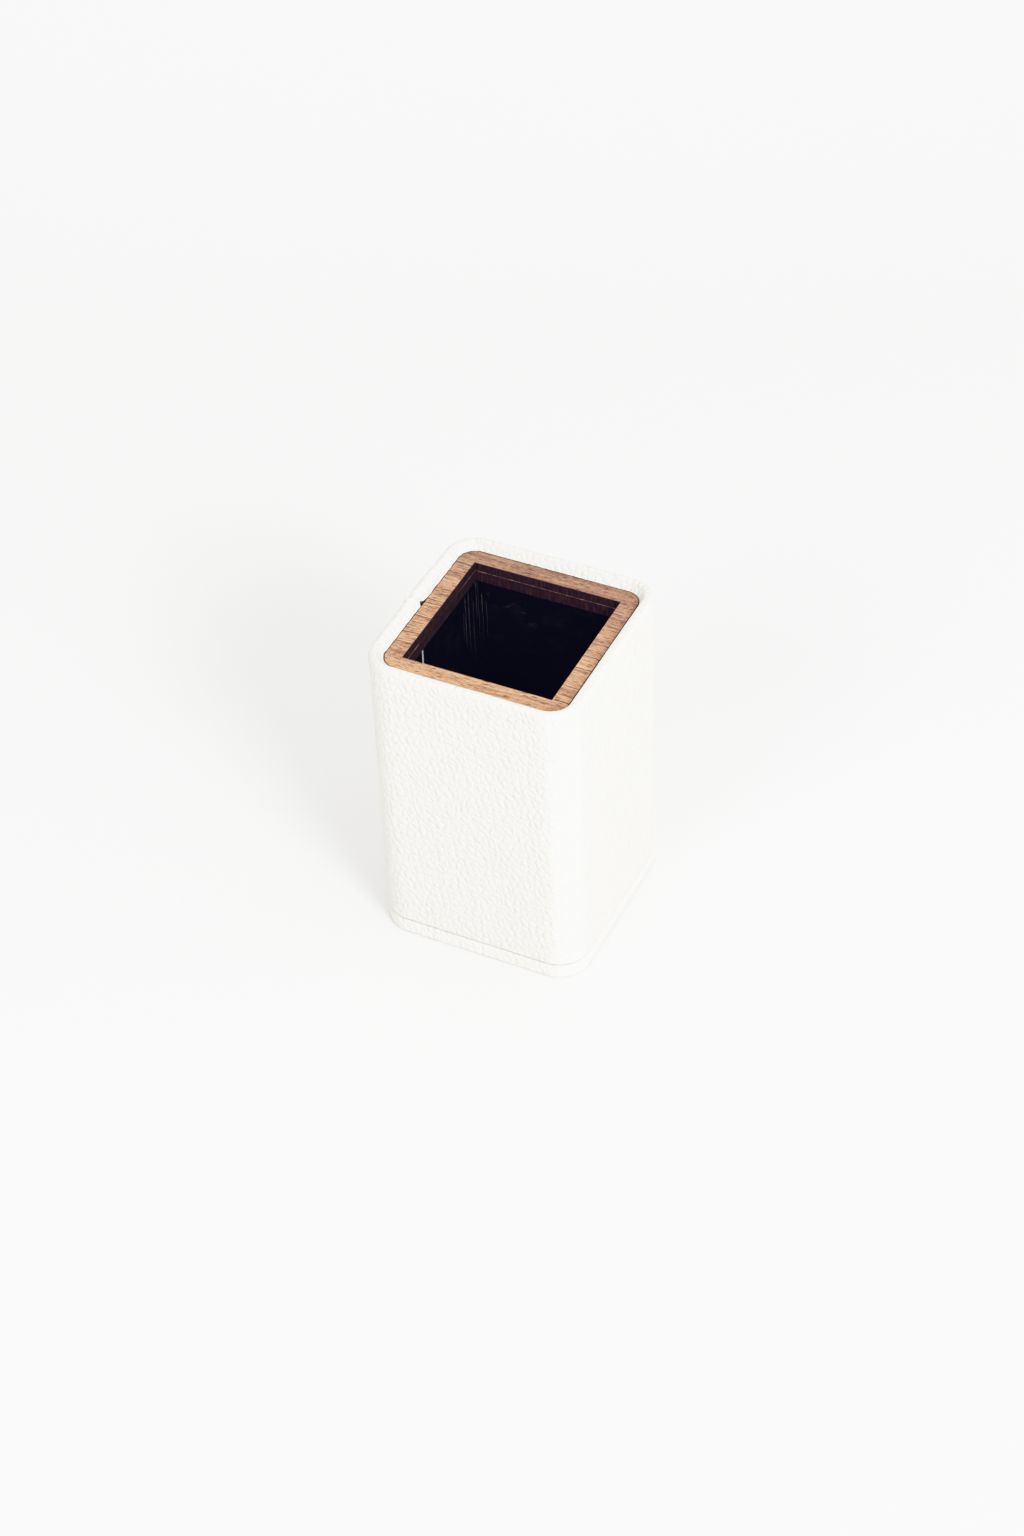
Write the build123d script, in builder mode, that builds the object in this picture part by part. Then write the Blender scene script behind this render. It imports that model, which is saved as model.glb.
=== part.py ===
from build123d import *
import os

# A square dice cup. A rigid board tube is wrapped in leather that rolls over the top edge, slopes
# down inside it and turns down behind two walnut frames, one on the other. Below them a glossy
# black liner forms the space for the dice. A separate base closes the tube, with a strip of
# leather round its edge and a felt pad below, and a fine groove shows where the two meet.
#
# Millimetres, +Z up. The origin is the centre of the resting face. The front is -Y, and the
# sleeve's seam is on the left, -X.

# Driving dimensions
width = 67.0  # across the flats, the same both ways
height = 105.6  # resting face to the crest of the rolled edge
corner_radius = 9.8  # upright outer corners
rim_recess = 2.45  # crest down to the top of the walnut
opening = 47.6  # clear opening of the upper walnut frame

# Leather
leather = 1.1  # full thickness, on the outside
skived = 0.65  # thinned edge that is turned in and under
roll_outer = 1.4  # radius of the rolled edge, outside
crest_flat = 0.25  # width of the crest, between the roll and the slope inside it
turn_depth = 12.0  # how far the turned edge reaches down inside
seam_y = 1.0  # where the sleeve's two ends meet
seam_gap = 0.4
edge_soft = 0.4  # softened edge each side of the groove
foot_soft = 0.7  # softened lower edge of the base

# Boards and sheets
tube_wall = 2.5  # rigid board of the tube
plate = 2.5  # board of the locating plate
base_thickness = 4.0  # board of the base
sheet = 3.0  # glossy sheet of the liner
upper_frame_thickness = 3.0
lower_frame_thickness = 3.6
ledge = 0.2  # the lower frame stands this far inside the upper one, on each side
liner_setback = 0.05  # the liner lies this far behind the lower frame, on each side
fit_gap = 0.1  # frames and locating plate, all round
arris = 0.08  # broken edges of the upper frame
spacer_thickness = 2.5
spacer_width = 48.0

# Base
base_height = 5.5  # resting face to the groove
base_turn = 9.0  # width of leather turned over and under the base board
pad_gap = 0.3  # the pad's edge from the leather's, all round

# Widths across the flats, from outside to inside, with their corner radii
tube_outer = width - 2 * leather
tube_outer_radius = corner_radius - leather
tube_inner = tube_outer - 2 * tube_wall
tube_inner_radius = tube_outer_radius - tube_wall
lined = tube_inner - 2 * skived
lined_radius = tube_inner_radius - skived
frame_outer = lined - 2 * fit_gap
frame_radius = lined_radius - fit_gap
lower_opening = opening - 2 * ledge
liner_inner = lower_opening + 2 * liner_setback
liner_outer = liner_inner + 2 * sheet
base_window = width - 2 * base_turn

# Slopes at 45 degrees from the crest down to the inside, on the leather and on the tube below it
rim_slope = (width - lined) / 2 - roll_outer - crest_flat
tube_slope = tube_wall - (roll_outer - leather) - 0.1

# Levels, from the resting face up
base_board_top = base_height - skived
base_board_bottom = base_board_top - base_thickness
base_foot_level = base_board_bottom - skived
tube_bottom = base_height + skived
tube_top = height - leather
plate_top = base_height + plate
upper_frame_bottom = height - rim_recess - upper_frame_thickness
lower_frame_bottom = upper_frame_bottom - lower_frame_thickness
liner_height = lower_frame_bottom - plate_top

os.makedirs("parts", exist_ok=True)


def finish_part(builder, name):
    """Labels a finished piece and writes it."""
    builder.part.label = name
    export_step(builder.part, f"parts/{name}.step")


# Rigid tube that gives the cup its shape
with BuildPart() as core_tube:
    with BuildSketch(Plane.XY.offset(tube_bottom)):
        RectangleRounded(tube_outer, tube_outer, tube_outer_radius)
        RectangleRounded(tube_inner, tube_inner, tube_inner_radius, mode=Mode.SUBTRACT)
    extrude(amount=tube_top - tube_bottom)
    tube_rim = core_tube.faces().sort_by(Axis.Z)[-1]
    fillet(tube_rim.outer_wire().edges(), roll_outer - leather)
    tube_rim = core_tube.faces().sort_by(Axis.Z)[-1]
    chamfer(tube_rim.inner_wires()[0].edges(), tube_slope)
finish_part(core_tube, "core_tube")

# Leather wrapped once round the tube, over its top edge and under its bottom edge
with BuildPart() as leather_sleeve:
    with BuildSketch(Plane.XY.offset(base_height)):
        RectangleRounded(width, width, corner_radius)
        RectangleRounded(tube_inner, tube_inner, tube_inner_radius, mode=Mode.SUBTRACT)
    extrude(amount=height - base_height)
    with BuildSketch(Plane.XY.offset(height - turn_depth)):
        RectangleRounded(tube_inner, tube_inner, tube_inner_radius)
        RectangleRounded(lined, lined, lined_radius, mode=Mode.SUBTRACT)
    extrude(amount=turn_depth)
    sleeve_rim = leather_sleeve.faces().sort_by(Axis.Z)[-1]
    fillet(sleeve_rim.outer_wire().edges(), roll_outer)
    sleeve_rim = leather_sleeve.faces().sort_by(Axis.Z)[-1]
    chamfer(sleeve_rim.inner_wires()[0].edges(), rim_slope)
    sleeve_foot = leather_sleeve.faces().sort_by(Axis.Z)[0]
    fillet(sleeve_foot.outer_wire().edges(), edge_soft)
    add(core_tube.part, mode=Mode.SUBTRACT)
    # The ends of the leather don't quite meet
    with BuildSketch(Plane.XY.offset(base_height)):
        with Locations((-width / 2, seam_y)):
            Rectangle(width / 2, seam_gap)
    extrude(amount=height - base_height, mode=Mode.SUBTRACT)
finish_part(leather_sleeve, "leather_sleeve")

# Walnut frames, each cut in one piece from flat sheet
with BuildPart() as upper_frame:
    with BuildSketch(Plane.XY.offset(upper_frame_bottom)):
        RectangleRounded(frame_outer, frame_outer, frame_radius)
        Rectangle(opening, opening, mode=Mode.SUBTRACT)
    extrude(amount=upper_frame_thickness)
    chamfer(upper_frame.faces().sort_by(Axis.Z)[-1].edges(), arris)
finish_part(upper_frame, "upper_walnut_frame")

with BuildPart() as lower_frame:
    with BuildSketch(Plane.XY.offset(lower_frame_bottom)):
        RectangleRounded(frame_outer, frame_outer, frame_radius)
        Rectangle(lower_opening, lower_opening, mode=Mode.SUBTRACT)
    extrude(amount=lower_frame_thickness)
finish_part(lower_frame, "lower_walnut_frame")

# Liner: front and back run the full width, and the sides stand between them
liner_mid = (liner_inner + sheet) / 2
for name, x, y, size_x, size_y in (
    ("liner_front", 0, -liner_mid, liner_outer, sheet),
    ("liner_back", 0, liner_mid, liner_outer, sheet),
    ("liner_left", -liner_mid, 0, sheet, liner_inner),
    ("liner_right", liner_mid, 0, sheet, liner_inner),
):
    with BuildPart() as liner_side:
        with BuildSketch(Plane.XY.offset(plate_top)):
            with Locations((x, y)):
                Rectangle(size_x, size_y)
        extrude(amount=liner_height)
    finish_part(liner_side, name)

# Floor of the liner, between its four sides
with BuildPart() as liner_floor:
    with BuildSketch(Plane.XY.offset(plate_top)):
        Rectangle(liner_inner, liner_inner)
    extrude(amount=sheet)
finish_part(liner_floor, "liner_floor")

# Spacer boards that hold the liner in the middle of the tube and carry the frames
spacer_mid = (liner_outer + spacer_thickness) / 2
for name, x, y, size_x, size_y in (
    ("spacer_front", 0, -spacer_mid, spacer_width, spacer_thickness),
    ("spacer_back", 0, spacer_mid, spacer_width, spacer_thickness),
    ("spacer_left", -spacer_mid, 0, spacer_thickness, spacer_width),
    ("spacer_right", spacer_mid, 0, spacer_thickness, spacer_width),
):
    with BuildPart() as spacer:
        with BuildSketch(Plane.XY.offset(plate_top)):
            with Locations((x, y)):
                Rectangle(size_x, size_y)
        extrude(amount=liner_height)
    finish_part(spacer, name)

# Locating plate on top of the base, which fits inside the tube
plate_side = tube_inner - 2 * fit_gap
with BuildPart() as locating_plate:
    with BuildSketch(Plane.XY.offset(base_height)):
        RectangleRounded(plate_side, plate_side, tube_inner_radius - fit_gap)
    extrude(amount=plate)
finish_part(locating_plate, "locating_plate")

# Rigid board inside the base
with BuildPart() as base_board:
    with BuildSketch(Plane.XY.offset(base_board_bottom)):
        RectangleRounded(tube_outer, tube_outer, tube_outer_radius)
    extrude(amount=base_thickness)
finish_part(base_board, "base_board")

# Strip of leather round the base board, turned over its top edge and under its bottom edge
with BuildPart() as base_leather:
    with BuildSketch(Plane.XY.offset(base_foot_level)):
        RectangleRounded(width, width, corner_radius)
    extrude(amount=base_height - base_foot_level)
    fillet(base_leather.faces().sort_by(Axis.Z)[-1].edges(), edge_soft)
    fillet(base_leather.faces().sort_by(Axis.Z)[0].edges(), foot_soft)
    add(base_board.part, mode=Mode.SUBTRACT)
    for window_bottom in (base_board_top, base_foot_level):
        with BuildSketch(Plane.XY.offset(window_bottom)):
            Rectangle(base_window, base_window)
        extrude(amount=skived, mode=Mode.SUBTRACT)
finish_part(base_leather, "base_leather")

# Felt pad under the base board that the cup rests on, just proud of the leather round it
pad_side = base_window - 2 * pad_gap
with BuildPart() as base_pad:
    with BuildSketch(Plane.XY):
        Rectangle(pad_side, pad_side)
    extrude(amount=base_board_bottom)
finish_part(base_pad, "base_pad")
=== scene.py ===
import math

import bmesh
import bpy
from mathutils import Matrix, Vector, noise


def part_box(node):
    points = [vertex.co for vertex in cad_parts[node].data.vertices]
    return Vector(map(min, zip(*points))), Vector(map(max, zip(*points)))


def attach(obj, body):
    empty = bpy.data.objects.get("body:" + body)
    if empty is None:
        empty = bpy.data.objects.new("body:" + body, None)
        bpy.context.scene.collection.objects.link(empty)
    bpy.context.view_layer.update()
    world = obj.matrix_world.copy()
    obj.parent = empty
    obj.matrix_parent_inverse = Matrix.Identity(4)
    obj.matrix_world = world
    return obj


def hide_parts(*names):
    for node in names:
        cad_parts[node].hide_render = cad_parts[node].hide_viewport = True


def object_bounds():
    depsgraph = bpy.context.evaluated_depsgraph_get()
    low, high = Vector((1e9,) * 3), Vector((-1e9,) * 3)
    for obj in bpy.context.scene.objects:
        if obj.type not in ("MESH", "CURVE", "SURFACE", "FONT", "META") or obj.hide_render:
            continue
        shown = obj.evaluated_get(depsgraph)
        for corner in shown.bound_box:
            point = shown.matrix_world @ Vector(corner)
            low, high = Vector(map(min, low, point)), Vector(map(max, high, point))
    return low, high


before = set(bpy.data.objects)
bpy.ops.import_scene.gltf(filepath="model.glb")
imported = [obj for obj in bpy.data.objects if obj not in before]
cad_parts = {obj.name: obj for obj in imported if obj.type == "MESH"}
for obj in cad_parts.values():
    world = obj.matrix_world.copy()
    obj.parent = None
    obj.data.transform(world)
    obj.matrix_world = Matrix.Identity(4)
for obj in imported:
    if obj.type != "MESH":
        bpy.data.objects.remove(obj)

CAD_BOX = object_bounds()
MM = 0.001

# ---------------------------------------------------------------------------------------------
# Sizes in millimetres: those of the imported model, and radii and depths that match it
# ---------------------------------------------------------------------------------------------


def box_mm(node):
    """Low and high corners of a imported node."""
    low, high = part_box(node)
    return Vector(low) / MM, Vector(high) / MM


SLEEVE_LOW, SLEEVE_HIGH = box_mm("leather_sleeve")
TUBE_LOW, TUBE_HIGH = box_mm("core_tube")
UPPER_LOW, UPPER_HIGH = box_mm("upper_walnut_frame")
LOWER_LOW, LOWER_HIGH = box_mm("lower_walnut_frame")
BASE_LOW = box_mm("base_leather")[0]
BOARD_LOW, BOARD_HIGH = box_mm("base_board")
PAD_LOW, PAD_HIGH = box_mm("base_pad")

HALF = SLEEVE_HIGH.x  # half the cup's width
CREST = SLEEVE_HIGH.z  # top of the rolled edge
GROOVE = SLEEVE_LOW.z  # where the sleeve meets the base
WOOD_TOP = UPPER_HIGH.z
LEATHER = HALF - TUBE_HIGH.x  # thickness of the leather
SKIVED = TUBE_LOW.z - GROOVE  # thickness of its turned edges
FIT = 0.1  # gap between the frames and the turned edge
WALL = HALF - UPPER_HIGH.x - FIT  # from the outside to the turned edge's inner face
FRAME_CORNER = 5.45  # radius of the walnut frames' outer corners
FRAME_FLAT = UPPER_HIGH.x - FRAME_CORNER
CORNER = 9.8  # radius of the upright outer corners
ROLL = 1.4  # radius of the rolled edge
TURN_DEPTH = 12.0  # how far the turned edge reaches down inside
BASE_TURN = 9.0  # leather turned over and under the base board
EDGE_SOFT = 0.45  # softened edge above the groove
BASE_SOFT = 0.9  # softened edge below it
FOOT_SOFT = 0.7  # softened edge at its foot
FOOT_LEVEL = 0.05  # the base's leather bulges down almost to the table at its edge
SEAM_Y = -2.1  # end of the overlapping flap, on the left side


# ---------------------------------------------------------------------------------------------
# Mesh helpers
# ---------------------------------------------------------------------------------------------


def smooth_step(x):
    x = min(1.0, max(0.0, x))
    return x * x * (3 - 2 * x)


def wave(x, y, z, size):
    """Smooth noise from -1 to 1 with features of about that size, in millimetres."""
    return noise.noise(Vector((x / size, y / size, z / size)))


class Contour:
    """A square with rounded corners, run anticlockwise seen from above, from (-half, start_y)."""

    def __init__(self, half, radius, start_y=0.0):
        self.half = half
        self.radius = radius
        self.side = 2 * (half - radius)
        self.arc = math.pi / 2 * radius
        self.length = 4 * (self.side + self.arc)
        self.first = start_y + half - radius  # run left on the side that it starts on

    def at(self, s):
        """Point on the contour at run s, and the outward direction there."""
        s = (s + self.side - self.first) % self.length
        quarter = int(s // (self.side + self.arc))
        rest = s - quarter * (self.side + self.arc)
        flat = self.half - self.radius
        if rest <= self.side:
            x, y = -self.half, flat - rest
            nx, ny = -1.0, 0.0
        else:
            turn = (rest - self.side) / self.radius
            nx, ny = -math.cos(turn), -math.sin(turn)
            x, y = -flat + self.radius * nx, -flat + self.radius * ny
        for _ in range(quarter):
            x, y = -y, x
            nx, ny = -ny, nx
        return x, y, nx, ny

    def runs(self, side_step, corner_steps, start, end):
        """Runs from start to end, evenly spaced on the flat sides and finer round the corners."""
        marks = {start, end}
        for quarter in range(-1, 6):
            base = quarter * (self.side + self.arc) - (self.side - self.first)
            count = max(1, round(self.side / side_step))
            marks.update(base + self.side * i / count for i in range(count + 1))
            marks.update(base + self.side + self.arc * i / corner_steps for i in range(corner_steps + 1))
        kept = [start]
        for m in sorted(m for m in marks if start < m <= end):
            if m - kept[-1] > 0.05:
                kept.append(m)
        kept[-1] = end
        return kept


ARC_STEPS = 8  # faces round each rounded corner of a section


def rounded_path(corners, radii, run_steps):
    """A path in section through corners that radii round off. A run of 0 steps joins two arcs."""
    points = [corners[0]]
    reached = Vector(corners[0])
    for i, radius in enumerate(radii):
        a, b, c = (Vector(corners[i + k]) for k in range(3))
        into, away = (b - a).normalized(), (c - b).normalized()
        cross = into.x * away.y - into.y * away.x
        turn = math.copysign(into.angle(away), cross)
        start = b - into * radius * math.tan(abs(turn) / 2)
        middle = start + Vector((-into.y, into.x)) * math.copysign(radius, turn)
        points += [tuple(reached.lerp(start, k / run_steps[i])) for k in range(1, run_steps[i] + 1)]
        spoke = start - middle
        for k in range(1, ARC_STEPS + 1):
            angle = turn * k / ARC_STEPS
            points.append(tuple(middle + Matrix.Rotation(angle, 2) @ spoke))
        reached = Vector(points[-1])
    last = Vector(corners[-1])
    points += [tuple(reached.lerp(last, k / run_steps[-1])) for k in range(1, run_steps[-1] + 1)]
    return points


def normals_along(points):
    """Outward direction at each point of a section that runs up the outside and over the top."""
    out = []
    for i in range(len(points)):
        a, b = Vector(points[max(i - 1, 0)]), Vector(points[min(i + 1, len(points) - 1)])
        along = (b - a).normalized()
        out.append((-along.y, along.x))
    return out


def lengths_along(points):
    """Distance along a section up to each of its points."""
    out = [0.0]
    for a, b in zip(points, points[1:]):
        out.append(out[-1] + math.dist(a, b))
    return out


def add_mesh(name, points, faces, uv=None):
    """A mesh object from points in millimetres. uv gives each point's place on the flat hide."""
    mesh = bpy.data.meshes.new(name)
    mesh.from_pydata([Vector(p) * MM for p in points], [], faces)
    if uv is not None:
        layer = mesh.uv_layers.new(name="hide")
        for loop in mesh.loops:
            layer.data[loop.index].uv = Vector(uv[loop.vertex_index]) * MM
    mesh.polygons.foreach_set("use_smooth", [True] * len(mesh.polygons))
    mesh.validate()
    mesh.update()
    obj = bpy.data.objects.new(name, mesh)
    bpy.context.scene.collection.objects.link(obj)
    return obj


def grid_faces(columns, rows, offset=0, flip=False):
    """Quads between neighbouring columns of points, rows points to a column."""
    faces = []
    for c in range(columns - 1):
        for r in range(rows - 1):
            low, high = offset + c * rows + r, offset + (c + 1) * rows + r
            quad = (low, high, high + 1, low + 1)
            faces.append(quad[::-1] if flip else quad)
    return faces


def strip_mesh(name, outer, inner, uv, rows):
    """A closed strip of leather from its outer and inner points, rows points to a column."""
    columns = len(outer) // rows
    shift = len(outer)
    last = (columns - 1) * rows
    faces = grid_faces(columns, rows) + grid_faces(columns, rows, shift, True)
    for c in range(columns - 1):
        a, b = c * rows, (c + 1) * rows
        faces.append((b, a, a + shift, b + shift))
        a, b = a + rows - 1, b + rows - 1
        faces.append((a, b, b + shift, a + shift))
    for r in range(rows - 1):
        faces.append((r, r + 1, r + 1 + shift, r + shift))
        faces.append((last + r + 1, last + r, last + r + shift, last + r + 1 + shift))
    return add_mesh(name, outer + inner, faces, uv + uv)


# ---------------------------------------------------------------------------------------------
# Material helpers
# ---------------------------------------------------------------------------------------------


class Nodes:
    """Short ways to build a material's node tree."""

    def __init__(self, name):
        self.material = bpy.data.materials.new(name)
        self.material.use_nodes = True
        self.tree = self.material.node_tree
        self.bsdf = self.tree.nodes["Principled BSDF"]

    def node(self, kind, **settings):
        made = self.tree.nodes.new(kind)
        for key, value in settings.items():
            setattr(made, key, value)
        return made

    def feed(self, socket, value):
        """Links a socket to another one, or sets it to a plain value."""
        if isinstance(value, bpy.types.NodeSocket):
            self.tree.links.new(value, socket)
        else:
            socket.default_value = value

    def place_mm(self):
        """The point's place in the cup's frame, in millimetres."""
        return self.scaled(self.node("ShaderNodeTexCoord").outputs["Object"], (1000.0, 1000.0, 1000.0))

    def hide_mm(self):
        """The point's place on the flat hide, in millimetres."""
        return self.scaled(self.node("ShaderNodeUVMap", uv_map="hide").outputs[0], (1000.0, 1000.0, 0.0))

    def math(self, operation, a, b=0.0, c=0.0):
        made = self.node("ShaderNodeMath", operation=operation)
        for socket, value in zip(made.inputs, (a, b, c)):
            self.feed(socket, value)
        return made.outputs[0]

    def add(self, *terms):
        """The sum of (value, weight) pairs."""
        total = 0.0
        for value, weight in terms:
            total = self.math("MULTIPLY_ADD", value, weight, total)
        return total

    def split(self, vector):
        made = self.node("ShaderNodeSeparateXYZ")
        self.feed(made.inputs[0], vector)
        return made.outputs

    def scaled(self, vector, scale):
        made = self.node("ShaderNodeVectorMath", operation="MULTIPLY")
        self.feed(made.inputs[0], vector)
        made.inputs[1].default_value = scale
        return made.outputs[0]

    def moved(self, vector, by):
        made = self.node("ShaderNodeVectorMath", operation="ADD")
        self.feed(made.inputs[0], vector)
        self.feed(made.inputs[1], by)
        return made.outputs[0]

    def turned(self, vector, degrees):
        """The vector turned about Z."""
        made = self.node("ShaderNodeVectorRotate", rotation_type="Z_AXIS")
        self.feed(made.inputs["Vector"], vector)
        made.inputs["Angle"].default_value = math.radians(degrees)
        return made.outputs[0]

    def noise(self, vector, scale, detail=2.0, roughness=0.5, colour=False):
        made = self.node("ShaderNodeTexNoise")
        self.feed(made.inputs["Vector"], vector)
        made.inputs["Scale"].default_value = scale
        made.inputs["Detail"].default_value = detail
        made.inputs["Roughness"].default_value = roughness
        return made.outputs["Color" if colour else "Fac"]

    def warped(self, vector, size, reach):
        """The vector moved about by noise of that size, by up to half of reach each way."""
        shift = self.moved(self.noise(vector, 1.0 / size, 2.0, 0.5, True), (-0.5, -0.5, -0.5))
        return self.moved(vector, self.scaled(shift, reach))

    def cells(self, vector, feature="F1", randomness=1.0):
        """Cellular pattern in X and Y only, with cells about one unit across."""
        made = self.node("ShaderNodeTexVoronoi", feature=feature, voronoi_dimensions="2D")
        self.feed(made.inputs["Vector"], vector)
        made.inputs["Scale"].default_value = 1.0
        made.inputs["Randomness"].default_value = randomness
        return made.outputs["Distance"]

    def span(self, value, low, high, to_low=0.0, to_high=1.0):
        """A smooth step from to_low at low to to_high at high."""
        made = self.node("ShaderNodeMapRange", interpolation_type="SMOOTHSTEP")
        for socket, v in zip(made.inputs, (value, low, high, to_low, to_high)):
            self.feed(socket, v)
        return made.outputs[0]

    def ramp(self, value, stops):
        """A colour that follows the value through (place, colour) stops."""
        made = self.node("ShaderNodeValToRGB")
        self.feed(made.inputs[0], value)
        elements = made.color_ramp.elements
        while len(elements) < len(stops):
            elements.new(0.5)
        for element, (at, colour) in zip(elements, stops):
            element.position = at
            element.color = (*colour, 1.0)
        return made.outputs[0]

    def near(self, value, middle, core, reach):
        """1 within core of the middle, fading to 0 at reach."""
        away = self.math("ABSOLUTE", self.math("SUBTRACT", value, middle))
        return self.span(away, core, reach, 1.0, 0.0)

    def times(self, *terms):
        """The product of the terms."""
        product = terms[0]
        for value in terms[1:]:
            product = self.math("MULTIPLY", product, value)
        return product

    def mix(self, share, a, b, blend="MIX"):
        made = self.node("ShaderNodeMix", data_type="RGBA", blend_type=blend)
        self.feed(made.inputs[0], share)
        for socket, value in ((made.inputs[6], a), (made.inputs[7], b)):
            self.feed(socket, (*value, 1.0) if isinstance(value, tuple) else value)
        return made.outputs[2]

    def bump(self, height, distance):
        """The normal of a surface raised by distance, in metres, for each unit of height."""
        made = self.node("ShaderNodeBump")
        self.feed(made.inputs["Height"], height)
        made.inputs["Distance"].default_value = distance
        made.inputs["Strength"].default_value = 1.0
        return made.outputs[0]

    def set(self, **values):
        """Sets the shader's sockets and returns the material."""
        for key, value in values.items():
            self.feed(self.bsdf.inputs[key.replace("_", " ")], value)
        return self.material


# ---------------------------------------------------------------------------------------------
# Materials
# ---------------------------------------------------------------------------------------------


PEBBLE = (2.25, 2.6)  # size of the leather's pebbles, round the cup and up it
GRAIN_DEPTH = 0.00031  # in metres
FOOT_SHADE_LEVEL = 0.44  # level of a fine painted contact shadow round the foot


def leather_material():
    """White leather with an upright pebbled grain, laid out on the flat hide in millimetres."""
    n = Nodes("white_leather")
    hide = n.hide_mm()
    drawn = n.turned(n.warped(n.warped(hide, 9.0, (2.2, 2.2, 0.0)), 2.6, (0.9, 0.9, 0.0)), -8.0)
    pebbles = n.scaled(drawn, (1 / PEBBLE[0], 1 / PEBBLE[1], 0.0))
    edge = n.cells(pebbles, "DISTANCE_TO_EDGE", 0.85)
    pebble = n.span(edge, 0.0, 0.34)
    folds = n.noise(n.scaled(drawn, (1 / 1.6, 1 / 2.7, 0.0)), 1.0, 0.0)
    fine = n.noise(n.scaled(drawn, (1 / 0.55, 1 / 0.8, 0.0)), 1.0, 1.0, 0.5)
    pores = n.noise(hide, 5.0, 3.0, 0.6)
    broad = n.noise(hide, 0.07, 2.0, 0.5)
    height = n.add((pebble, 0.62), (folds, 1.15), (fine, 0.16), (pores, 0.05))
    x, y, z = n.split(n.place_mm())
    # Round the corners it is painted paler, a painted highlight where the light falls, less of it on the
    # left; its grain is smoother on top
    past_x, past_y = (n.math("SUBTRACT", n.math("ABSOLUTE", v), HALF - CORNER) for v in (x, y))
    painted_corner_highlight = n.times(n.span(past_x, 1.8, 4.0), n.span(past_y, 1.2, 3.2))
    below_top = n.span(z, CREST - 7.0, CREST - 2.0, 1.0, 0.0)
    painted_corner_highlight = n.times(painted_corner_highlight, n.span(x, -20.0, 20.0, 0.2, 1.0), below_top)
    height = n.times(height, n.span(z, CREST - 3.0, CREST - 0.8, 1.0, 0.75))
    # Painted shade in the groove and a painted contact shadow round the foot, broken up by the pores
    groove_and_foot_shade = n.add((n.near(z, GROOVE, 0.14, 0.58), 0.85), (n.near(z, FOOT_SHADE_LEVEL, 0.10, 0.26), 0.65))
    groove_and_foot_shade = n.times(groove_and_foot_shade, n.span(pores, 0.2, 0.55))
    # The creases between the pebbles are painted darker: dirt in them, and painted shade
    creased = n.times(n.span(edge, 0.0, 0.12, 1.0, 0.0), n.span(broad, 0.35, 0.65, 0.3, 0.6))
    colour = n.mix(creased, (0.797, 0.768, 0.708), (0.745, 0.708, 0.636))
    colour = n.mix(n.span(broad, 0.35, 0.7, 0.0, 0.3), colour, (0.781, 0.751, 0.687))
    # Painted highlight on the rounded corners
    colour = n.mix(n.times(painted_corner_highlight, 0.6), colour, (0.875, 0.86, 0.82))
    # The corners on the left are painted a little darker, a painted shade on the side away from the light
    painted_left_corner_shade = n.times(n.span(x, -HALF + 1.0, -HALF + 9.0, 1.0, 0.0), n.span(past_y, -4.0, 1.0))
    darker = n.mix(1.0, colour, (0.955, 0.952, 0.945), "MULTIPLY")
    colour = n.mix(painted_left_corner_shade, colour, darker)
    # The base is covered with its own piece, painted slightly lighter: painted light that makes up for
    # the shade near the floor
    painted_base_light = n.mix(1.0, colour, (1.060, 1.065, 1.075), "MULTIPLY")
    colour = n.mix(n.span(z, GROOVE - 0.2, GROOVE - 0.1, 1.0, 0.0), colour, painted_base_light)
    # Painted shade in the groove and round the foot
    colour = n.mix(groove_and_foot_shade, colour, (0.42, 0.37, 0.32))
    # The turned edge is painted near black below the wood's top, in the narrow gap beside the frames:
    # painted shade
    away = n.math("MAXIMUM", n.math("ABSOLUTE", x), n.math("ABSOLUTE", y))
    inside = n.span(away, HALF - 3.6, HALF - 3.2, 1.0, 0.0)
    beside = n.near(z, WOOD_TOP - 4.0, 3.94, 4.06)
    blackening = n.times(inside, beside, 0.9)
    colour = n.mix(blackening, colour, (0.05, 0.028, 0.022))
    return n.set(
        Base_Color=colour,
        Roughness=n.span(pebble, 0.0, 1.0, 0.66, 0.54),
        Specular_IOR_Level=0.35,
        Normal=n.bump(height, GRAIN_DEPTH),
    )


# Dark lines that cross the walnut: where each is on the left and right strips, and how strong
GRAIN_LINES = (
    (21.9, 18.3, 0.75),
    (17.3, 16.2, 0.45),
    (8.3, 12.3, 0.70),
    (2.8, 3.6, 0.60),
    (-5.0, -2.5, 0.75),
    (-12.5, -8.0, 0.85),
    (-17.2, -16.5, 0.60),
)


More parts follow.
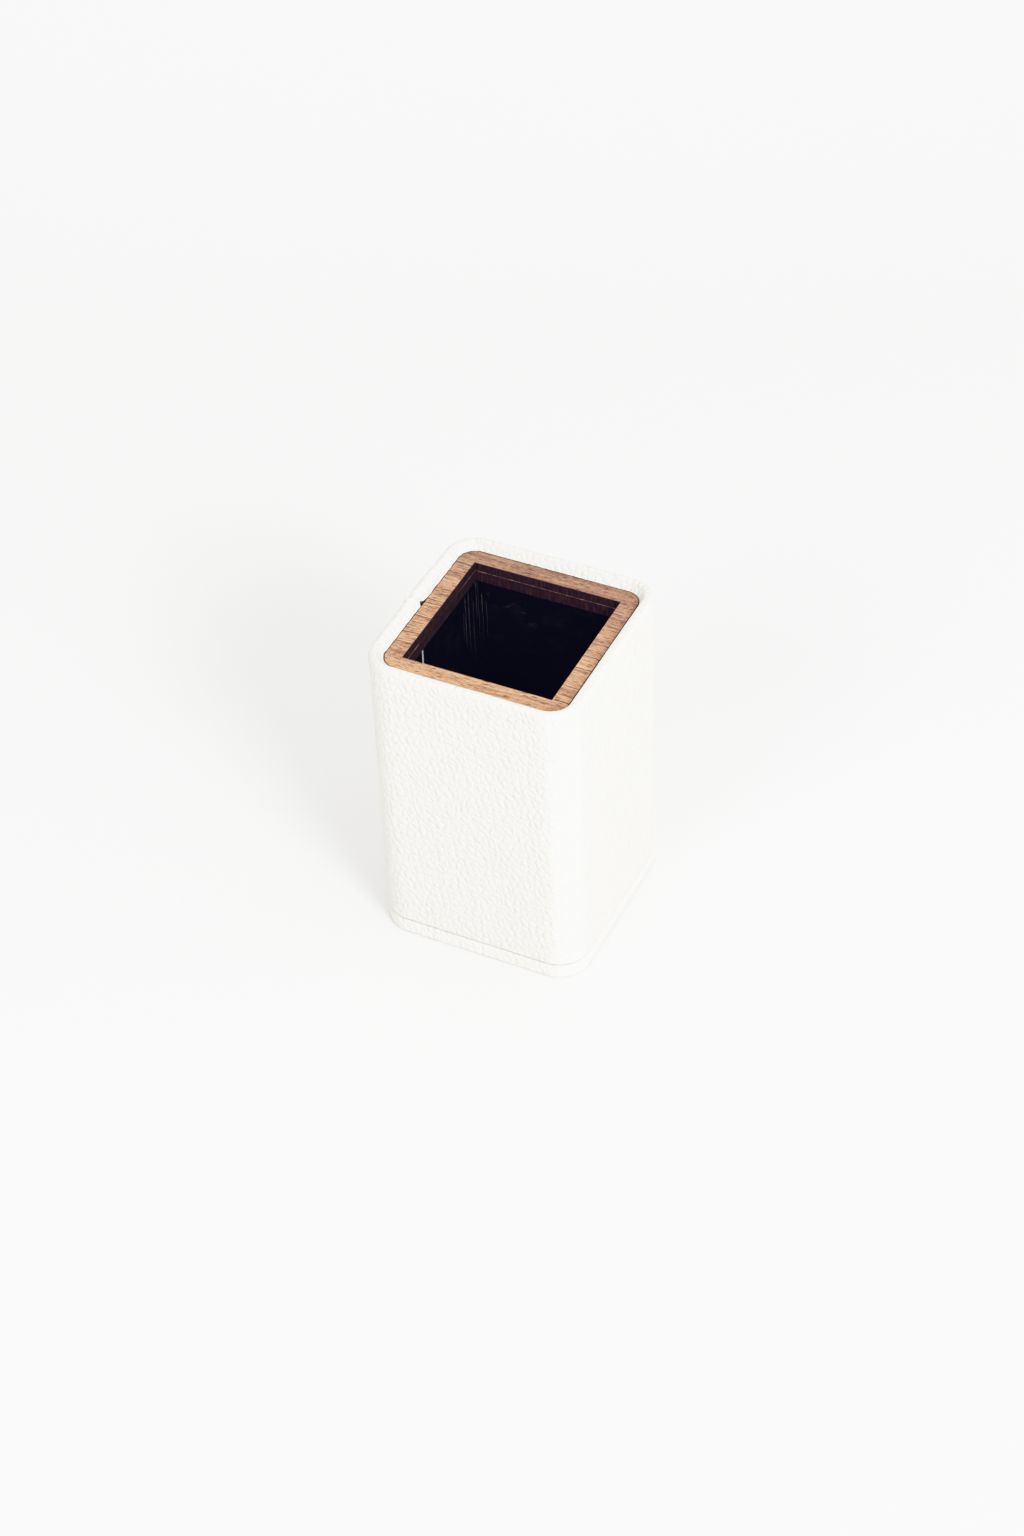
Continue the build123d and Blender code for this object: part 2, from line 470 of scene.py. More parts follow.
def walnut_material():
    """Oiled walnut with its grain along X. Faces that the laser cut are scorched dark."""
    n = Nodes("walnut")
    at = n.place_mm()
    x, y, z = n.split(at)
    grain = n.warped(n.warped(at, 30.0, (0.0, 2.6, 0.0)), 5.0, (0.0, 0.5, 0.0))
    bands = n.noise(n.scaled(grain, (0.012, 0.30, 0.30)), 1.0, 3.0, 0.55)
    lines = n.noise(n.scaled(grain, (0.05, 1.5, 1.5)), 1.0, 3.0, 0.65)
    hairs = n.noise(n.scaled(grain, (0.045, 1.5, 1.5)), 1.0, 1.0, 0.6)
    fibres = n.noise(n.scaled(grain, (0.85, 3.2, 3.2)), 1.0, 2.0, 0.8)
    dashes = n.cells(n.scaled(grain, (1 / 4.2, 1 / 0.62, 0.0)))
    gashes = n.cells(n.scaled(n.moved(grain, (7.3, 3.1, 0.0)), (1 / 8.0, 1 / 1.3, 0.0)))
    patch = n.noise(n.scaled(grain, (0.07, 0.28, 0.28)), 1.0, 2.0, 0.6)
    from_middle = n.math("ABSOLUTE", y)
    sides = n.span(from_middle, 21.0, 25.0, 1.0, 0.65)
    hairs = n.times(sides, n.near(hairs, 0.5, 0.014, 0.052), n.span(patch, 0.38, 0.56, 0.25, 1.0))
    dashes = n.times(n.span(dashes, 0.10, 0.32, 1.0, 0.0), n.span(patch, 0.34, 0.60, 0.35, 1.0))
    gashes = n.span(gashes, 0.07, 0.15, 1.0, 0.0)
    tone = n.add((bands, 0.22), (lines, 0.24), (fibres, 0.54))
    stops = (
        (0.33, (0.15, 0.066, 0.036)),
        (0.42, (0.34, 0.178, 0.102)),
        (0.51, (0.565, 0.320, 0.189)),
        (0.63, (0.75, 0.455, 0.277)),
    )
    wood = n.ramp(tone, stops)
    wood = n.mix(n.times(hairs, 0.78), wood, (0.15, 0.062, 0.040))
    wood = n.mix(n.times(dashes, 0.54), wood, (0.13, 0.055, 0.036))
    wood = n.mix(n.times(gashes, 0.85), wood, (0.07, 0.028, 0.022))
    across = n.span(x, LOWER_LOW.x, LOWER_HIGH.x)
    sway = n.split(grain)[1]
    ends = n.span(n.noise(n.scaled(at, (0.35, 0.9, 0.9)), 1.0, 2.0), 0.30, 0.45)
    for on_left, on_right, strength in GRAIN_LINES:
        level = n.add((across, on_right - on_left), (1.0, on_left))
        dark = n.near(n.math("SUBTRACT", sway, level), 0.0, 0.12, 0.30)
        light = n.near(n.math("SUBTRACT", sway, level), 0.42, 0.10, 0.28)
        wood = n.mix(n.times(light, ends, strength * 0.45), wood, (0.78, 0.50, 0.31))
        wood = n.mix(n.times(dark, ends, strength), wood, (0.075, 0.030, 0.022))
    # A short crack near the front right corner
    crack = n.near(n.add((y, 1.0), (x, 0.10), (fibres, 0.8)), -20.3, 0.14, 0.36)
    crack = n.times(crack, n.span(x, 24.0, 24.6))
    wood = n.mix(n.times(crack, 0.85), wood, (0.06, 0.022, 0.018))
    # The sheet is more golden at the front, and darker and redder at the back
    stops = (
        (0.0, (0.935, 0.895, 0.83)),
        (0.45, (0.945, 0.905, 0.868)),
        (0.70, (0.875, 0.822, 0.825)),
        (0.92, (0.615, 0.575, 0.61)),
    )
    tint = n.ramp(n.add((y, 1 / 54.0), (1.0, 24.0 / 54.0)), stops)
    wood = n.mix(1.0, wood, tint, "MULTIPLY")
    # Smoke has stained the outer edge
    past = [n.math("MAXIMUM", n.math("SUBTRACT", n.math("ABSOLUTE", v), FRAME_FLAT), 0.0) for v in (x, y)]
    squares = [n.times(v, v) for v in past]
    reach = n.math("SQRT", n.math("ADD", *squares))
    rough = n.noise(at, 0.9, 3.0, 0.6)
    burnt = n.span(n.add((reach, 1.0), (rough, 0.9)), FRAME_CORNER + 0.22, FRAME_CORNER + 0.60)
    front_left = n.times(n.span(x, -24.0, -26.0), n.span(y, -24.0, -26.0))
    burnt = n.math("MAXIMUM", burnt, n.times(front_left, n.span(reach, 5.0, 5.2)))
    wood = n.mix(n.times(burnt, 0.75), wood, (0.07, 0.030, 0.022))
    # A painted shadow: a dark line along the right edge, where the leather's raised edge shades the wood
    right_edge_shadow = n.span(x, UPPER_HIGH.x - 0.30, UPPER_HIGH.x - 0.18)
    right_edge_shadow = n.times(right_edge_shadow, n.span(from_middle, 25.0, 26.5, 1.0, 0.0))
    wood = n.mix(n.times(right_edge_shadow, 0.88), wood, (0.05, 0.018, 0.014))
    # Smoke has darkened the lower frame, whose narrow ledge shows from above
    spots = n.noise(at, 0.30, 3.0, 0.7)
    smoky = n.mix(n.span(spots, 0.46, 0.62), (0.10, 0.050, 0.058), (0.31, 0.18, 0.16))
    # Along the middle of the left side the ledge is painted darker still: painted shade
    at_left = n.span(x, -23.0, -22.0, 1.0, 0.0)
    darker = n.times(at_left, n.span(from_middle, 12.0, 16.0, 1.0, 0.0))
    smoky = n.mix(darker, smoky, (0.022, 0.008, 0.009))
    wood = n.mix(n.span(z, UPPER_LOW.z + 0.02, UPPER_LOW.z + 0.04, 1.0, 0.0), wood, smoky)
    # Upright faces are scorched, with upright streaks
    facing = n.math("ABSOLUTE", n.split(n.node("ShaderNodeNewGeometry").outputs["Normal"])[2])
    streaks = n.noise(n.scaled(at, (2.4, 2.4, 0.22)), 1.0, 3.0, 0.6)
    blackening = n.noise(at, 0.35, 2.0, 0.5)
    stops = (
        (0.34, (0.007, 0.0014, 0.0045)),
        (0.50, (0.016, 0.0036, 0.0095)),
        (0.64, (0.052, 0.016, 0.019)),
    )
    scorched = n.mix(n.span(blackening, 0.4, 0.65, 0.0, 0.45), n.ramp(streaks, stops), (0.016, 0.004, 0.006))
    # On the left the scorched faces are painted a little darker and bluer: painted shade
    scorched = n.mix(at_left, scorched, n.mix(1.0, scorched, (0.84, 0.92, 1.0), "MULTIPLY"))
    height = n.add((dashes, -0.6), (gashes, -0.8), (hairs, -0.4), (fibres, 0.35))
    return n.set(
        Base_Color=n.mix(n.span(facing, 0.55, 0.9, 1.0, 0.0), wood, scorched),
        Roughness=n.span(fibres, 0.3, 0.7, 0.52, 0.66),
        Specular_IOR_Level=0.22,
        Normal=n.bump(height, 0.00008),
    )


# Fine upright streaks of painted highlight on the glossy walls: run from the back left corner, along the
# back wall or, where it is negative, along the left one, then half width, top, bottom and strength
HIGHLIGHT_STREAKS = (
    (-9.05, 0.20, 91.0, 82.0, 0.45),
    (-7.65, 0.26, 96.0, 79.0, 0.75),
    (-5.45, 0.26, 97.0, 76.0, 0.70),
    (-2.65, 0.24, 91.0, 70.0, 0.50),
    (-0.40, 0.22, 98.0, 84.0, 0.80),
    (0.45, 0.10, 97.0, 76.0, 0.60),
    (1.70, 0.13, 92.5, 84.5, 1.20),
    (1.70, 0.11, 86.0, 76.0, 0.50),
    (3.05, 0.11, 90.0, 77.0, 0.60),
)
# A bright streak of painted highlight on the left wall, near its front
BRIGHT_HIGHLIGHT_STREAK = (-35.6, 0.62, 98.0, 84.0, 1.0)
# Faint smudges on the back wall: place along it, level, half length, half width, tilt and strength
SMUDGES = (
    (-12.9, 90.0, 2.8, 0.55, 38.0, 0.9),
    (-8.2, 88.8, 1.5, 0.35, 5.0, 0.8),
    (-19.8, 92.3, 0.8, 0.6, 30.0, 0.9),
    (-5.2, 84.9, 1.9, 1.1, 20.0, 0.7),
    (-3.5, 96.4, 1.3, 0.4, 12.0, 0.7),
)


def liner_material():
    """Glossy black acrylic sheet with fine upright streaks of painted highlight and a few smudges."""
    n = Nodes("black_acrylic")
    at = n.place_mm()
    x, y, z = n.split(at)
    sway = n.times(n.math("SUBTRACT", n.noise(at, 0.16, 1.0), 0.5), 0.7)
    corner_run = n.add((x, 1.0), (y, 1.0), (sway, 1.0))
    seen = n.span(n.math("SUBTRACT", y, x), 1.0, 2.0)

    def streak(run, half, top, bottom, strength):
        across = n.math("ABSOLUTE", n.math("SUBTRACT", corner_run, run))
        along = n.times(n.span(z, bottom - 5.0, bottom + 5.0), n.span(z, top - 2.0, top, 1.0, 0.0))
        return n.times(n.span(across, 0.0, half, 1.0, 0.0), along, strength)

    def smudge(along, level, half_length, half_width, tilt, strength):
        spot = n.node("ShaderNodeVectorRotate", rotation_type="Y_AXIS")
        n.feed(spot.inputs["Vector"], n.moved(at, (-along, 0.0, -level)))
        spot.inputs["Angle"].default_value = math.radians(tilt)
        far = n.node("ShaderNodeVectorMath", operation="LENGTH")
        n.feed(far.inputs[0], n.scaled(spot.outputs[0], (1 / half_length, 0.0, 1 / half_width)))
        return n.times(n.span(far.outputs["Value"], 0.2, 1.2, 1.0, 0.0), strength)

    faint_highlights = 0.0
    for values in HIGHLIGHT_STREAKS:
        faint_highlights = n.math("MAXIMUM", streak(*values), faint_highlights)
    broken = n.span(n.noise(n.scaled(at, (1.2, 1.2, 0.35)), 1.0, 2.0), 0.3, 0.6, 0.45, 1.0)
    faint_highlights = n.times(faint_highlights, broken, seen)
    blots = 0.0
    for values in SMUDGES:
        blots = n.math("MAXIMUM", smudge(*values), blots)
    blots = n.times(blots, n.span(y, 20.0, 21.0), n.span(n.noise(at, 1.3, 3.0, 0.6), 0.35, 0.65))
    haze = n.noise(n.scaled(at, (0.16, 0.16, 0.22)), 1.0, 4.0, 0.65)
    colour = n.mix(n.span(haze, 0.50, 0.74), (0.0014, 0.0013, 0.0030), (0.0040, 0.0040, 0.0065))
    colour = n.mix(blots, colour, (0.026, 0.025, 0.029))
    # Painted highlights: the faint streaks, then the bright one
    colour = n.mix(faint_highlights, colour, (0.105, 0.10, 0.115))
    colour = n.mix(n.times(streak(*BRIGHT_HIGHLIGHT_STREAK), seen), colour, (0.62, 0.63, 0.66))
    return n.set(
        Base_Color=colour,
        Roughness=n.math("MAXIMUM", n.span(haze, 0.45, 0.75, 0.05, 0.20), n.times(faint_highlights, 0.4)),
        Specular_IOR_Level=0.4,
        Normal=n.bump(n.noise(n.scaled(at, (0.5, 0.5, 0.05)), 1.0, 1.0), 0.00002),
    )


def board_material():
    """Dense grey-brown board, almost all of it hidden."""
    n = Nodes("dense_board")
    at = n.place_mm()
    flecks = n.noise(at, 1.4, 4.0, 0.7)
    layers = n.noise(n.scaled(at, (0.15, 0.15, 3.0)), 1.0, 2.0, 0.5)
    stops = ((0.35, (0.028, 0.018, 0.013)), (0.7, (0.085, 0.06, 0.046)))
    return n.set(
        Base_Color=n.ramp(n.add((flecks, 0.6), (layers, 0.4)), stops),
        Roughness=0.9,
        Normal=n.bump(flecks, 0.00008),
    )


def felt_material():
    """Short dark felt."""
    n = Nodes("dark_felt")
    at = n.place_mm()
    matted = n.warped(at, 2.0, (2.0, 2.0, 2.0))
    hairs = n.noise(n.scaled(matted, (3.5, 1.2, 2.0)), 1.0, 4.0, 0.7)
    cross = n.noise(n.scaled(matted, (1.1, 3.8, 2.0)), 1.0, 4.0, 0.7)
    pile = n.add((hairs, 0.5), (cross, 0.5))
    n.bsdf.inputs["Sheen Weight"].default_value = 0.4
    n.bsdf.inputs["Sheen Roughness"].default_value = 0.5
    return n.set(
        Base_Color=n.ramp(pile, ((0.35, (0.03, 0.027, 0.025)), (0.65, (0.11, 0.10, 0.092)))),
        Roughness=0.95,
        Normal=n.bump(pile, 0.00035),
    )


FLOOR_COLOUR = (0.865, 0.861, 0.853)


def floor_material():
    """Matt paper of the studio's floor and backdrop."""
    n = Nodes("pale_floor")
    cloud = n.noise(n.node("ShaderNodeTexCoord").outputs["Object"], 3.0, 2.0)
    return n.set(
        Base_Color=n.mix(cloud, FLOOR_COLOUR, tuple(c * 0.985 for c in FLOOR_COLOUR)),
        Roughness=0.9,
        Specular_IOR_Level=0.1,
    )


LEATHER_LOOK = leather_material()
WALNUT_LOOK = walnut_material()
LINER_LOOK = liner_material()
BOARD_LOOK = board_material()
FELT_LOOK = felt_material()


def dress(obj, material):
    """Gives a piece its material and slot, on the cup's one body."""
    obj.data.materials.clear()
    obj.data.materials.append(material)
    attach(obj, "root")
    return obj


# ---------------------------------------------------------------------------------------------
# Leather sleeve
# ---------------------------------------------------------------------------------------------

LAP = 3.0  # how far the far end runs on under the near flap
FLAP_LIFT = 0.48  # how far the flap's end stands out
FLAP_THIN = 0.9  # share of the thickness left at the flap's end
END_ROUND = 0.25  # radius of the flap's end
FAR_DIP = 0.95  # how far the far part sinks in beside the flap's end, at the top
LOW_DIP = 0.68  # and lower down
SLOPE_TOP = 2.01  # from the outside to the corner where the crest turns down inside
FOOT_REACH = 3.4  # leather turned under the tube
FOOT_GAP = 0.16  # opening of the groove at each side
APEX = 3.15  # from the outside to where the two ends draw apart beside the wood
FULL_RIGHT = 0.95  # how much fuller the turned edge is along the right side
BLEND = 8.0  # the ends' shapes on top fade out over this run


def sleeve_paths():
    """The sleeve's outer and inner faces in section, as (inward from the outside, height)."""
    outer = [
        (FOOT_REACH, GROOVE),
        (0.0, GROOVE + FOOT_GAP),
        (0.0, CREST),
        (SLOPE_TOP, CREST),
        (WALL, WOOD_TOP),
        (WALL, CREST - TURN_DEPTH),
    ]
    inner = [
        (FOOT_REACH, GROOVE + SKIVED),
        (LEATHER, GROOVE + SKIVED),
        (LEATHER, CREST - LEATHER),
        (SLOPE_TOP - 0.21, CREST - LEATHER),
        (WALL - SKIVED, WOOD_TOP - 0.57),
        (WALL - SKIVED, CREST - TURN_DEPTH),
    ]
    steps = (3, 44, 0, 12, 5)
    return (
        rounded_path(outer, (EDGE_SOFT, ROLL, ROLL, 0.4), steps),
        rounded_path(inner, (0.05, ROLL - LEATHER, 0.3, 0.3), steps),
    )


def near_end(inward):
    """How far the flap's end stands towards the back, that far in over the crest."""
    lean = 2.2 * (min(max(inward - 1.0, 0.0), APEX - 1.0) / (APEX - 1.0)) ** 1.7
    return lean - 1.25 * min(max(inward - APEX, 0.0) / (WALL - APEX), 1.0)


def far_end(inward):
    """How far behind the flap's end at the side the far part stops, that far in over the crest."""
    if inward < APEX:
        return -LAP + (LAP + 2.2) * smooth_step((inward - 2.7) / (APEX - 2.7))
    beside = (inward - APEX) / (WALL - APEX)
    return 2.2 + 0.9 * min(beside / 0.7, 1.0) + 1.9 * min(max(beside - 0.7, 0.0) / 0.3, 1.0)


def build_sleeve():
    """One strip of leather round the tube, whose near end laps over its far end on the left side."""
    contour = Contour(HALF, CORNER, SEAM_Y)
    section, lining = sleeve_paths()
    along = lengths_along(section)
    ways = normals_along(section)
    rows = len(section)
    total = contour.length
    lead = [0.0, 0.06, 0.15, 0.3, 0.5, 0.8, 1.2, 1.7, 2.4, 3.4, 4.6, 6.0]
    tail = [total - d for d in (6.0, 4.5, 3.4, 2.6, 1.9, 1.4, 1.0, 0.7, 0.4)]
    lapped = [total + LAP * i / 6 for i in range(7)]
    runs = lead + contour.runs(1.2, 14, 7.2, total - 7.0) + tail + lapped
    outer, inner, uv = [], [], []
    for s in runs:
        behind = total - s  # run left before the lap
        short = max(0.0, END_ROUND - s)
        end_drop = END_ROUND - math.sqrt(END_ROUND ** 2 - short ** 2)
        under = max(0.0, -behind) / LAP
        deeper = min(2 * under, 1.0)
        sinks = 1 - smooth_step((behind - 0.2) / 3.6)
        skived = 1.0 - (1.0 - FLAP_THIN) * (1 - smooth_step(s / 4.5))
        for (inward, z), (lining_inward, lining_z), run, way in zip(section, lining, along, ways):
            on_top = z > CREST / 2
            from_foot = (z - GROOVE) / (CREST - GROOVE)
            local = s
            if on_top and s < BLEND:
                local = s - near_end(inward) * (1 - s / BLEND)
            elif on_top and behind < BLEND:
                local = s - (BLEND - behind) / (BLEND + LAP) * (far_end(inward) + LAP)
            x, y, nx, ny = contour.at(local)
            # Beside the wood the leather lies close, and elsewhere it is a little uneven
            close = smooth_step(inward - 3.2) if on_top else 0.0
            foot = smooth_step(from_foot * 25)
            high = smooth_step((from_foot - 0.75) * 4)
            dip = LOW_DIP + (FAR_DIP - LOW_DIP) * high
            dip = (dip + (LEATHER - 0.12 - dip) * deeper) * sinks
            thin = skived * max(0.08, 1 - dip / LEATHER)
            rise = 0.10 * wave(x, y, z * 0.5, 23.0) + 0.05 * wave(x + 50, y, z, 9.0)
            rise += 0.08 * wave(x * 1.3, y * 1.3, 7.0, 14.0) * high
            rise += 0.15 * max(0.0, -nx) ** 8 * (1 - (y / (HALF - CORNER)) ** 2) * high
            # The two ends come level where they draw apart beside the wood
            apart = 1 - smooth_step((inward - 2.0) / 1.4) if on_top else 1.0
            rise += (FLAP_LIFT * (1 - smooth_step(s / 1.8)) - end_drop) * apart
            rise -= dip * max(apart, under)
            rise += 0.16 * math.exp(-((behind - 11.0) / 5.0) ** 2) * high
            rise += 0.12 * smooth_step(behind - 1.0) * (1 - smooth_step((behind - 12.0) / 8.0)) * high
            rise *= foot * (1 - close)
            full = smooth_step(nx / 0.6) * smooth_step((ny + 0.75) / 0.75) * (1 - smooth_step(ny))
            full *= FULL_RIGHT * smooth_step((inward - 1.2) / 0.9) * on_top
            full *= min(max((z - WOOD_TOP) / (CREST - WOOD_TOP), 0.0), 1.0)
            uneven = max(0.0, -nx) * (0.22 + 0.20 * wave(x, y, 3.0, 1.5))
            snug = (0.04 - 0.09 * (nx + ny) - uneven) * close
            out = inward + rise * way[0] + full + snug
            up = z + rise * way[1]
            outer.append((x - nx * out, y - ny * out, up))
            step = (lining_inward - inward) * thin
            inner.append((x - nx * (out + step), y - ny * (out + step), up + (lining_z - z) * thin))
            uv.append((local, run))
    return strip_mesh("leather_wrap", outer, inner, uv, rows), total + LAP, along[-1]


# ---------------------------------------------------------------------------------------------
# Base: its leather strip and its felt pad
# ---------------------------------------------------------------------------------------------

PLEAT = 0.07  # depth of the pleats where the leather turns under the corners
PLEATS = 5  # in each corner
JOINT = 0.12  # gap between the strip's two ends
PAD_CELLS = 24  # faces along each side of the pad


def build_base_strip():
    """The strip of leather round the base board, turned over it and under it, with its ends butted."""
    contour = Contour(HALF, CORNER, SEAM_Y)
    steps = (7, 5, 7)
    outer_corners = [
        (BASE_TURN, GROOVE),
        (0.0, GROOVE - FOOT_GAP),
        (0.0, FOOT_LEVEL),
        (BASE_TURN, BASE_LOW.z),
    ]
    inner_corners = [
        (BASE_TURN, BOARD_HIGH.z),
        (LEATHER, BOARD_HIGH.z),
        (LEATHER, BOARD_LOW.z),
        (BASE_TURN, BOARD_LOW.z),
    ]
    section = rounded_path(outer_corners[::-1], (FOOT_SOFT, BASE_SOFT), steps)
    lining = rounded_path(inner_corners[::-1], (0.05, 0.05), steps)
    along = lengths_along(section)
    end = contour.length - JOINT
    close = (0.0, 0.08, 0.2, 0.5)
    runs = list(close) + contour.runs(1.7, 20, 1.0, end - 1.0) + [end - d for d in close[::-1]]
    outer, inner, uv = [], [], []
    for s in runs:
        short = max(0.0, 0.2 - min(s, end - s))
        drop = 0.2 - math.sqrt(0.2 ** 2 - short ** 2)
        x, y, nx, ny = contour.at(s)
        corner = 2 * abs(nx * ny)
        angle = math.atan2(abs(ny), abs(nx))
        for (inward, z), (lining_inward, lining_z), run in zip(section, lining, along):
            swell = 0.05 * wave(x, y, 3.0, 19.0) * (1 - smooth_step(inward / 2))
            pleat = PLEAT * (1 - math.cos(4 * PLEATS * angle)) * corner
            pleat *= smooth_step((inward - 1.5) / 3) * (z < BOARD_LOW.z)
            out = inward - swell + drop * (inward < 1.0)
            outer.append((x - nx * out, y - ny * out, z + pleat))
            inner.append((x - nx * lining_inward, y - ny * lining_inward, lining_z))
            uv.append((s, run))
    return strip_mesh("base_wrap", outer, inner, uv, len(section)), end, along[-1]


def build_pad():
    """A square of short felt with soft edges, a little uneven underneath."""
    size = PAD_HIGH - PAD_LOW
    grid = bmesh.new()
    bmesh.ops.create_cube(grid, size=1.0)
    for vert in grid.verts:
        vert.co = Vector(a * b for a, b in zip(vert.co, size)) + (PAD_LOW + PAD_HIGH) / 2
    upright = [e for e in grid.edges if abs(e.verts[0].co.z - e.verts[1].co.z) > 0.1]
    bmesh.ops.bevel(grid, geom=upright, offset=1.2, segments=5, profile=0.5, affect="EDGES")
    foot = [e for e in grid.edges if all(v.co.z < PAD_LOW.z + 0.01 for v in e.verts)]
    bmesh.ops.bevel(grid, geom=foot, offset=0.35, segments=4, profile=0.5, affect="EDGES")
    for normal in (Vector((1, 0, 0)), Vector((0, 1, 0))):
        for k in range(1, PAD_CELLS):
            spot = PAD_LOW + (size * k / PAD_CELLS)
            everything = grid.verts[:] + grid.edges[:] + grid.faces[:]
            bmesh.ops.bisect_plane(grid, geom=everything, plane_co=spot, plane_no=normal)
    for vert in grid.verts:
        if vert.co.z < PAD_LOW.z + 0.2:
            vert.co.z += 0.05 * (1 + wave(vert.co.x, vert.co.y, 0.0, 5.0)) * 0.5
    mesh = bpy.data.meshes.new("felt_pad")
    for vert in grid.verts:
        vert.co *= MM
    grid.to_mesh(mesh)
    grid.free()
    mesh.polygons.foreach_set("use_smooth", [True] * len(mesh.polygons))
    obj = bpy.data.objects.new("felt_pad", mesh)
    bpy.context.scene.collection.objects.link(obj)
    return obj


# ---------------------------------------------------------------------------------------------
# Pieces
# ---------------------------------------------------------------------------------------------

sleeve, sleeve_length, sleeve_width = build_sleeve()
dress(sleeve, LEATHER_LOOK)
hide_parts("leather_sleeve")

base_strip, strip_length, strip_width = build_base_strip()
dress(base_strip, LEATHER_LOOK)
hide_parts("base_leather")

pad = build_pad()
dress(pad, FELT_LOOK)
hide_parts("base_pad")

NODE_LOOKS = {
    WALNUT_LOOK: ("upper_walnut_frame", "lower_walnut_frame"),
    LINER_LOOK: ("liner_front", "liner_back", "liner_left", "liner_right", "liner_floor"),
    BOARD_LOOK: (
        "core_tube",
        "spacer_front",
        "spacer_back",
        "spacer_left",
        "spacer_right",
        "locating_plate",
        "base_board",
    ),
}
for look, names in NODE_LOOKS.items():
    for name in names:
        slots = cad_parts[name].data.materials
        slots.clear()
        slots.append(look)


# ---------------------------------------------------------------------------------------------
# Camera, lights and floor
# ---------------------------------------------------------------------------------------------

IMAGE_HEIGHT = 1536
FOCAL_PIXELS = 3149.3
SENSOR = 36.0
CAMERA_AZIMUTH = 27.32
CAMERA_ELEVATION = 42.16
CAMERA_ROLL = -2.65
CAMERA_DISTANCE = 0.9481
ACROSS = 0.00181  # how far right of the camera's axis the cup's centre is
ABOVE = 0.00299  # and how far above it


def direction(azimuth, elevation):
    """From the cup towards a place at that azimuth and elevation, in degrees."""
    a, e = math.radians(azimuth), math.radians(elevation)
    return Vector((math.sin(a) * math.cos(e), -math.cos(a) * math.cos(e), math.sin(e)))


def make_camera():
    """The camera at the photograph's angle, turned to its roll."""
    back = direction(CAMERA_AZIMUTH, CAMERA_ELEVATION)
    roll = math.radians(CAMERA_ROLL)
    right = (-back).cross(Vector((0, 0, 1))).normalized()
    up = right.cross(-back)
    turned_right = right * math.cos(roll) + up * math.sin(roll)
    turned_up = up * math.cos(roll) - right * math.sin(roll)
    low, high = CAD_BOX
    centre = (low + high) / 2
    spot = centre + back * CAMERA_DISTANCE - turned_right * ACROSS - turned_up * ABOVE
    camera = bpy.data.objects.new("camera", bpy.data.cameras.new("camera"))
    bpy.context.scene.collection.objects.link(camera)
    camera.data.sensor_width = SENSOR
    camera.data.lens = FOCAL_PIXELS / IMAGE_HEIGHT * SENSOR
    turn = Matrix((turned_right, turned_up, back)).transposed().to_4x4()
    camera.matrix_world = Matrix.Translation(spot) @ turn
    bpy.context.scene.camera = camera


def make_floor():
    """A pale sweep that curves up behind the cup, square to the camera's direction."""
    ahead = -direction(CAMERA_AZIMUTH, 0)
    across = direction(CAMERA_AZIMUTH + 90, 0)
    front, reach, bend, wall, width = 3.0, 0.30, 0.35, 2.5, 4.0
    section = [(-front, 0.0), (-1.0, 0.0), (reach, 0.0)]
    for k in range(1, 25):
        a = math.pi / 2 * k / 24
        section.append((reach + bend * math.sin(a), bend - bend * math.cos(a)))
    section.append((reach + bend, bend + wall))
    points = []
    for i in range(9):
        side = across * (width * (i / 8 - 0.5) * 2)
        points += [(side + ahead * run + Vector((0, 0, z))) / MM for run, z in section]
    floor = add_mesh("floor", points, grid_faces(9, len(section)))
    floor.data.materials.append(floor_material())


AIM = Vector((0, 0, 0.05))  # the lights face this point, about half way up the cup
# Name, azimuth, elevation, distance, size, power and colour of each light
LIGHTS = (
    ("key", 57.0, 34.0, 1.6, 0.45, 20.0, (0.96, 0.985, 1.0)),
    ("fill", -12.0, 38.0, 1.6, 0.5, 9.0, (1.0, 1.0, 1.0)),
)


def make_light(name, azimuth, elevation, distance, size, power, colour):
    """A square soft light that faces the cup."""
    way = direction(azimuth, elevation)
    light = bpy.data.objects.new(name, bpy.data.lights.new(name, "AREA"))
    light.data.shape = "SQUARE"
    light.data.size = size
    light.data.energy = power
    light.data.color = colour
    light.location = way * distance + AIM
    light.rotation_mode = "QUATERNION"
    light.rotation_quaternion = way.to_track_quat("Z", "Y")
    bpy.context.scene.collection.objects.link(light)


SKY = 1.10  # mean brightness of the studio round the cup
SKY_LEAN = (0.61, 0.30, 0.02)  # it is brighter to the right, behind and above
LEFT_TINT = (1.0, 0.972, 0.925, 1.0)
RIGHT_TINT = (0.975, 0.992, 1.0, 1.0)


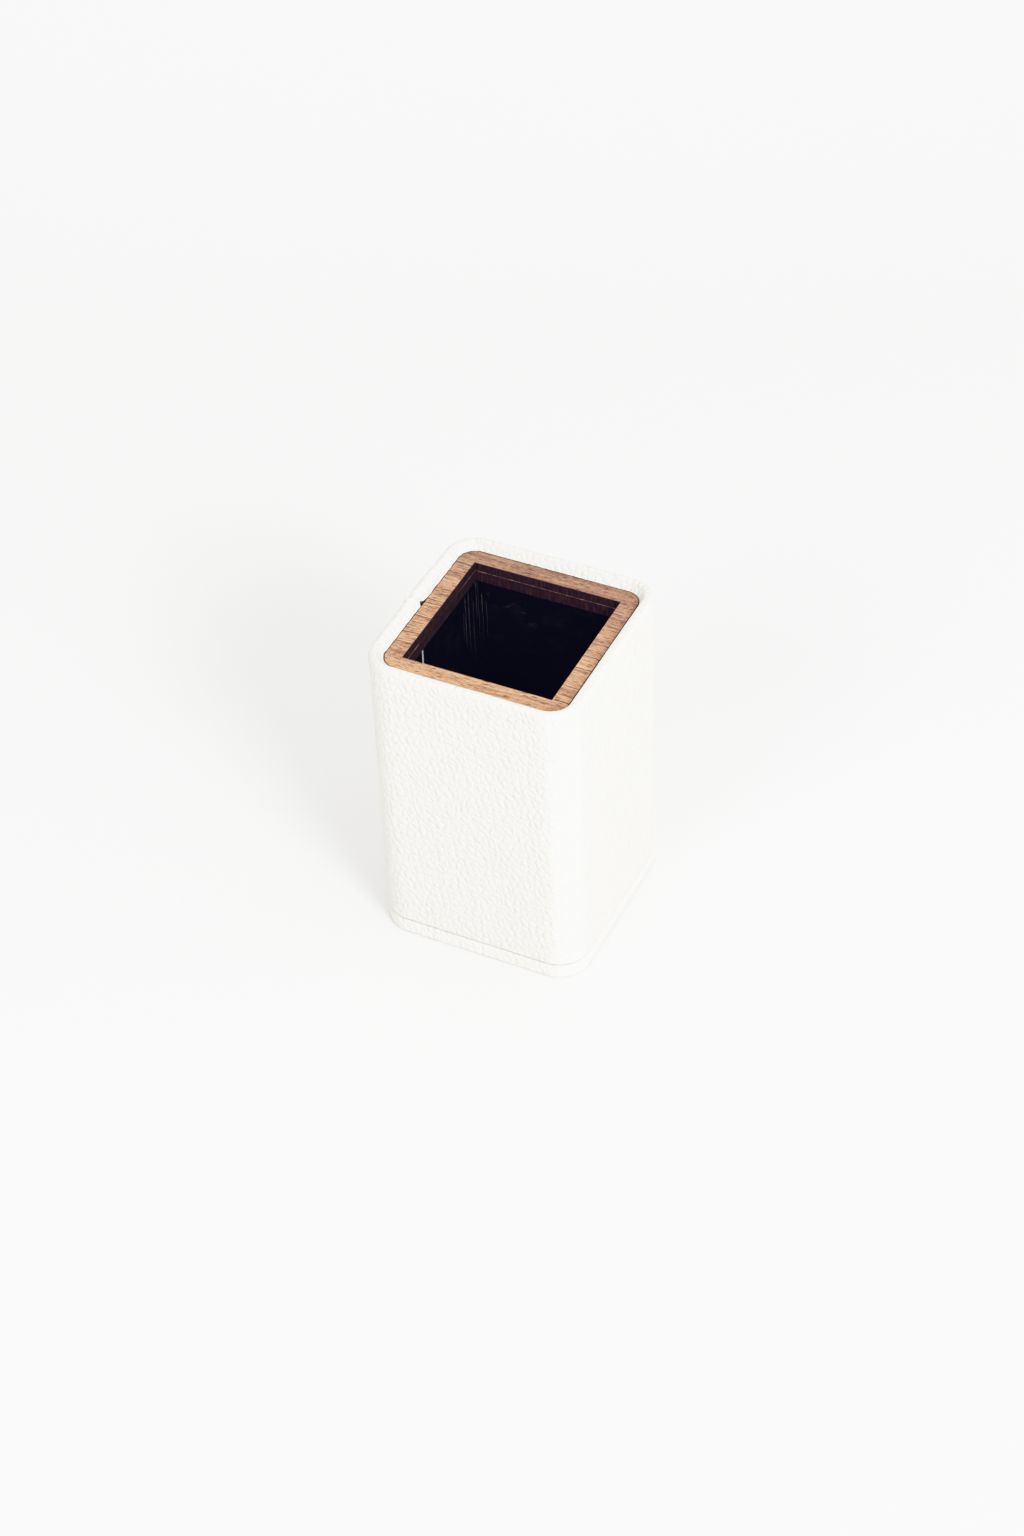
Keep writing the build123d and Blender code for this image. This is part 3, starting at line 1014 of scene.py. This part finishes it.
def make_world():
    """Light from all round, stronger on one side and slightly warmer on the left."""
    world = bpy.data.worlds.new("studio")
    world.use_nodes = True
    tree = world.node_tree
    way = tree.nodes.new("ShaderNodeTexCoord")
    lean = tree.nodes.new("ShaderNodeVectorMath")
    lean.operation = "DOT_PRODUCT"
    lean.inputs[1].default_value = SKY_LEAN
    level = tree.nodes.new("ShaderNodeMath")
    level.operation = "ADD"
    level.inputs[1].default_value = SKY
    tree.links.new(way.outputs["Generated"], lean.inputs[0])
    tree.links.new(lean.outputs["Value"], level.inputs[0])
    side = tree.nodes.new("ShaderNodeVectorMath")
    side.operation = "DOT_PRODUCT"
    side.inputs[1].default_value = (0.5, 0.0, 0.0)
    share = tree.nodes.new("ShaderNodeMath")
    share.operation = "ADD"
    share.inputs[1].default_value = 0.5
    tint = tree.nodes.new("ShaderNodeMix")
    tint.data_type = "RGBA"
    tint.inputs[6].default_value = LEFT_TINT
    tint.inputs[7].default_value = RIGHT_TINT
    tree.links.new(way.outputs["Generated"], side.inputs[0])
    tree.links.new(side.outputs["Value"], share.inputs[0])
    tree.links.new(share.outputs[0], tint.inputs[0])
    background = tree.nodes["Background"]
    tree.links.new(tint.outputs[2], background.inputs[0])
    tree.links.new(level.outputs[0], background.inputs[1])
    bpy.context.scene.world = world


# A photographic print's shoulder: scene brightness, and what it is printed as
PRINT_WHITE = 3.0
PRINT_CURVE = (
    (0.25, 0.235),
    (0.5, 0.455),
    (0.8, 0.68),
    (1.0, 0.79),
    (1.17, 0.855),
    (1.36, 0.909),
    (1.5, 0.938),
    (1.62, 0.952),
    (1.85, 0.964),
    (2.2, 0.972),
    (3.0, 0.98),
)
PRINT_BLACK = (0.0007, 0.0006, 0.0022)  # the print's blacks are a little lifted and blue


def set_print():
    """Prints the scene with the curve and the blacks above, and no other look."""
    settings = bpy.context.scene.view_settings
    settings.view_transform = "Standard"
    settings.look = "None"
    settings.use_curve_mapping = True
    mapping = settings.curve_mapping
    mapping.white_level = (PRINT_WHITE,) * 3
    curve = mapping.curves[3]
    curve.points[0].location = (0.0, 0.0)
    curve.points[-1].location = (PRINT_CURVE[-1][0] / PRINT_WHITE, PRINT_CURVE[-1][1])
    for scene_level, printed in PRINT_CURVE[:-1]:
        curve.points.new(scene_level / PRINT_WHITE, printed)
    for channel, black in zip(mapping.curves, PRINT_BLACK):
        channel.points[0].location = (0.0, black)
        knee = channel.points.new(0.01, 0.01 + black / 4)
        for point in (channel.points[0], knee):
            point.handle_type = "VECTOR"
    mapping.update()


make_camera()
make_floor()
make_world()
for values in LIGHTS:
    make_light(*values)
set_print()
